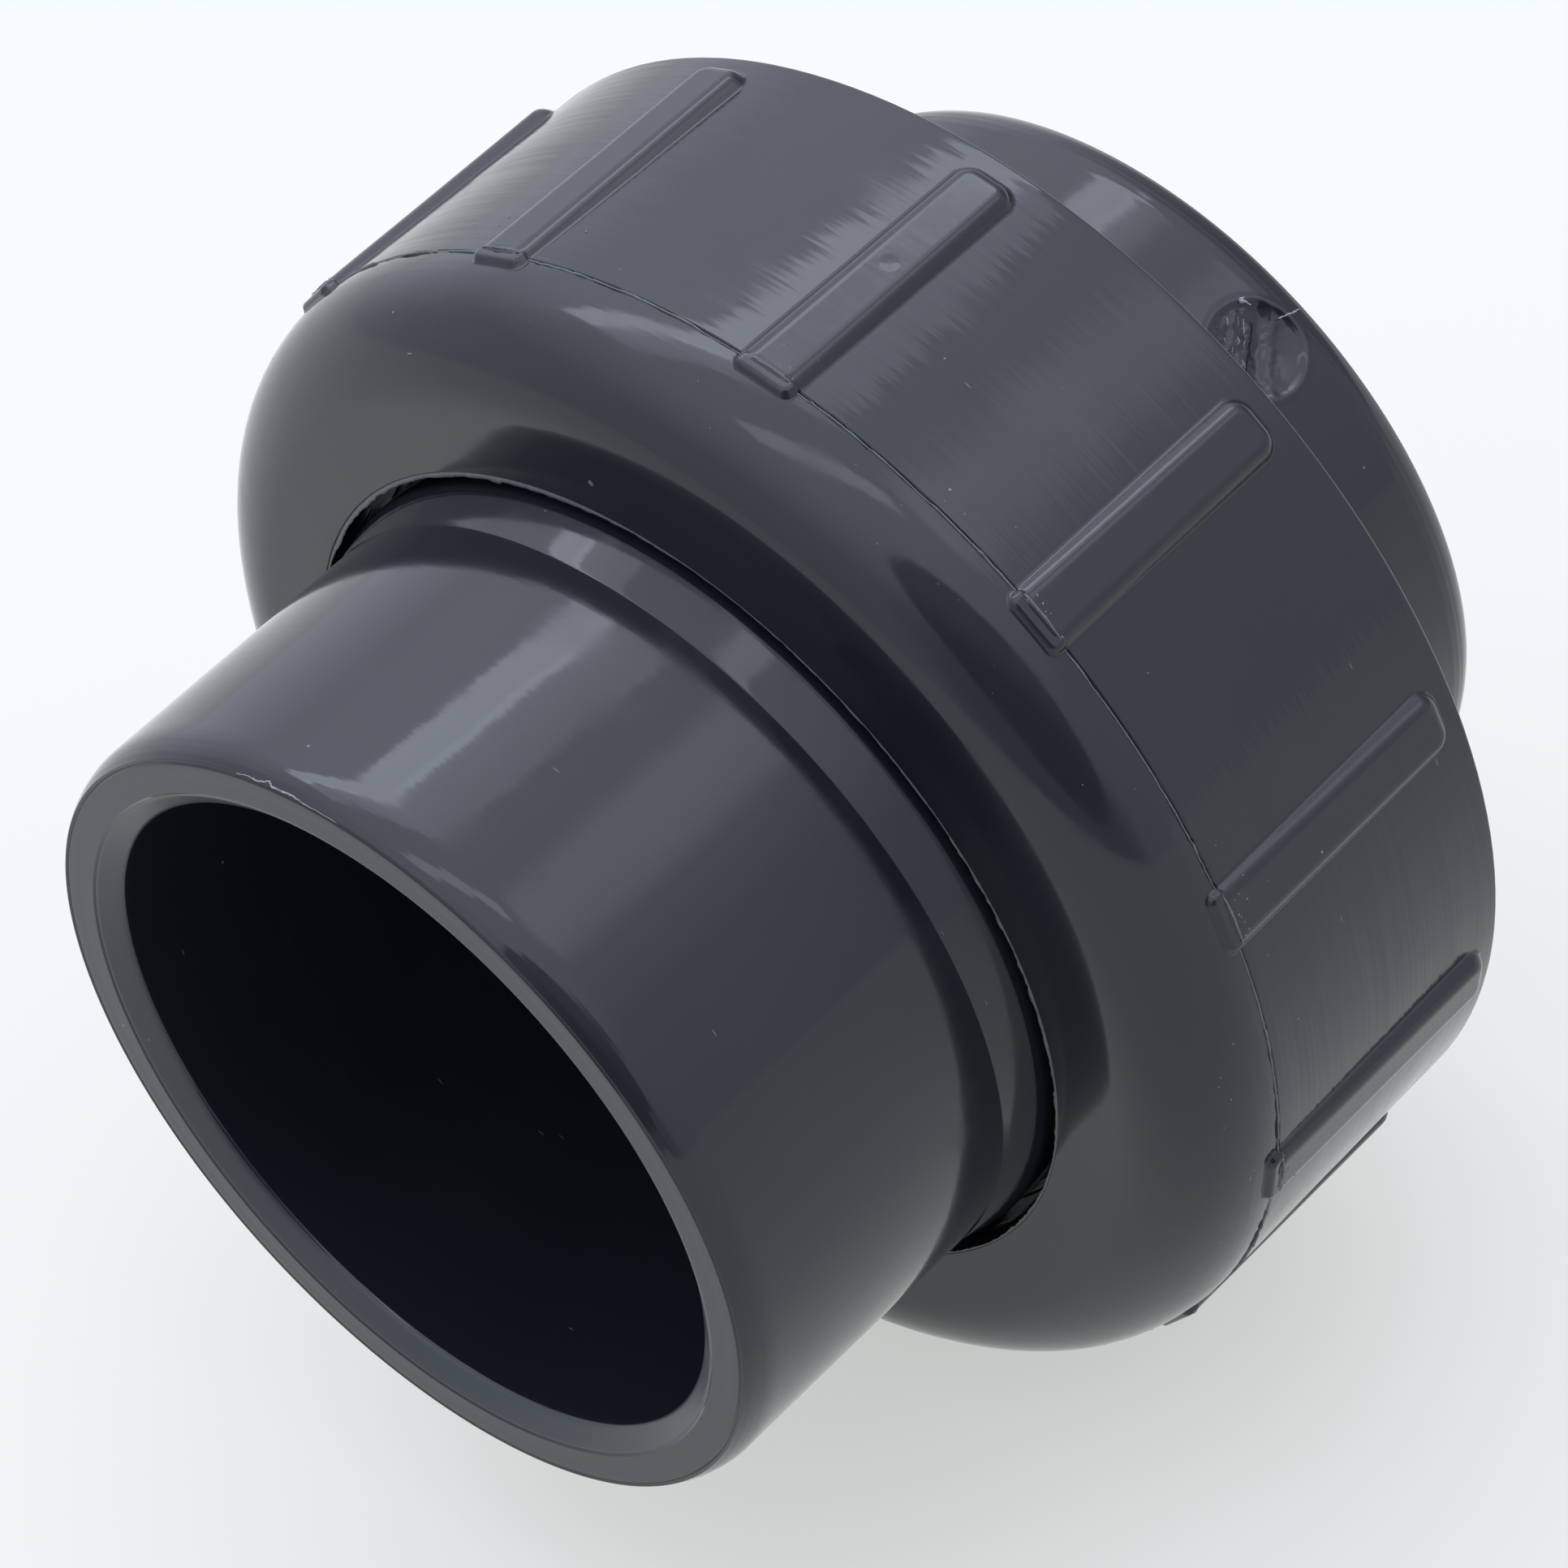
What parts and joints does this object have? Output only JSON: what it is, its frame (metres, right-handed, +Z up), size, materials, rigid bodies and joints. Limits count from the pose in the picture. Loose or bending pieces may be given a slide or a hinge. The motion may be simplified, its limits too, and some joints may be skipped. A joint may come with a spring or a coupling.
{
  "type": "union fitting",
  "caption": "Socket-by-socket pipe union: ribbed union nut over a flanged tail piece, screwed to a threaded body with an O-ring face seal.",
  "frame": {"origin": "on the surface the fitting rests on, under the middle of its length and its axis", "axes": "+X along the fitting's axis from the tail piece's mouth to the threaded body's mouth; +Z up; the axis runs 52.9 mm above the origin"},
  "size_m": [0.0892, 0.1058, 0.1058],
  "materials": {
    "pvc_body": "dark grey glossy rigid PVC",
    "pvc_tail": "dark grey glossy rigid PVC",
    "pvc_nut": "dark grey glossy rigid PVC",
    "seal_rubber": "black seal rubber"
  },
  "bodies": {
    "threaded_body": {"threaded_body": "pvc_body", "o_ring": "seal_rubber"},
    "tail_piece": {"tail_piece": "pvc_tail"},
    "union_nut": {"union_nut": "pvc_nut"}
  },
  "joints": [
    {"name": "tail_slide", "type": "slide", "parent": "threaded_body", "child": "tail_piece", "axis": [-1, 0, 0], "range_m": [0, 0.0214]},
    {"name": "nut_turn", "type": "hinge", "parent": "tail_piece", "child": "union_nut", "pos_m": [0, 0, 0.0529], "axis": [-1, 0, 0], "range_deg": [0, 1530]}
  ],
  "couplings": [
    {"joint": "tail_slide", "follows": "nut_turn", "m_per_rad": 0.00079577}
  ]
}
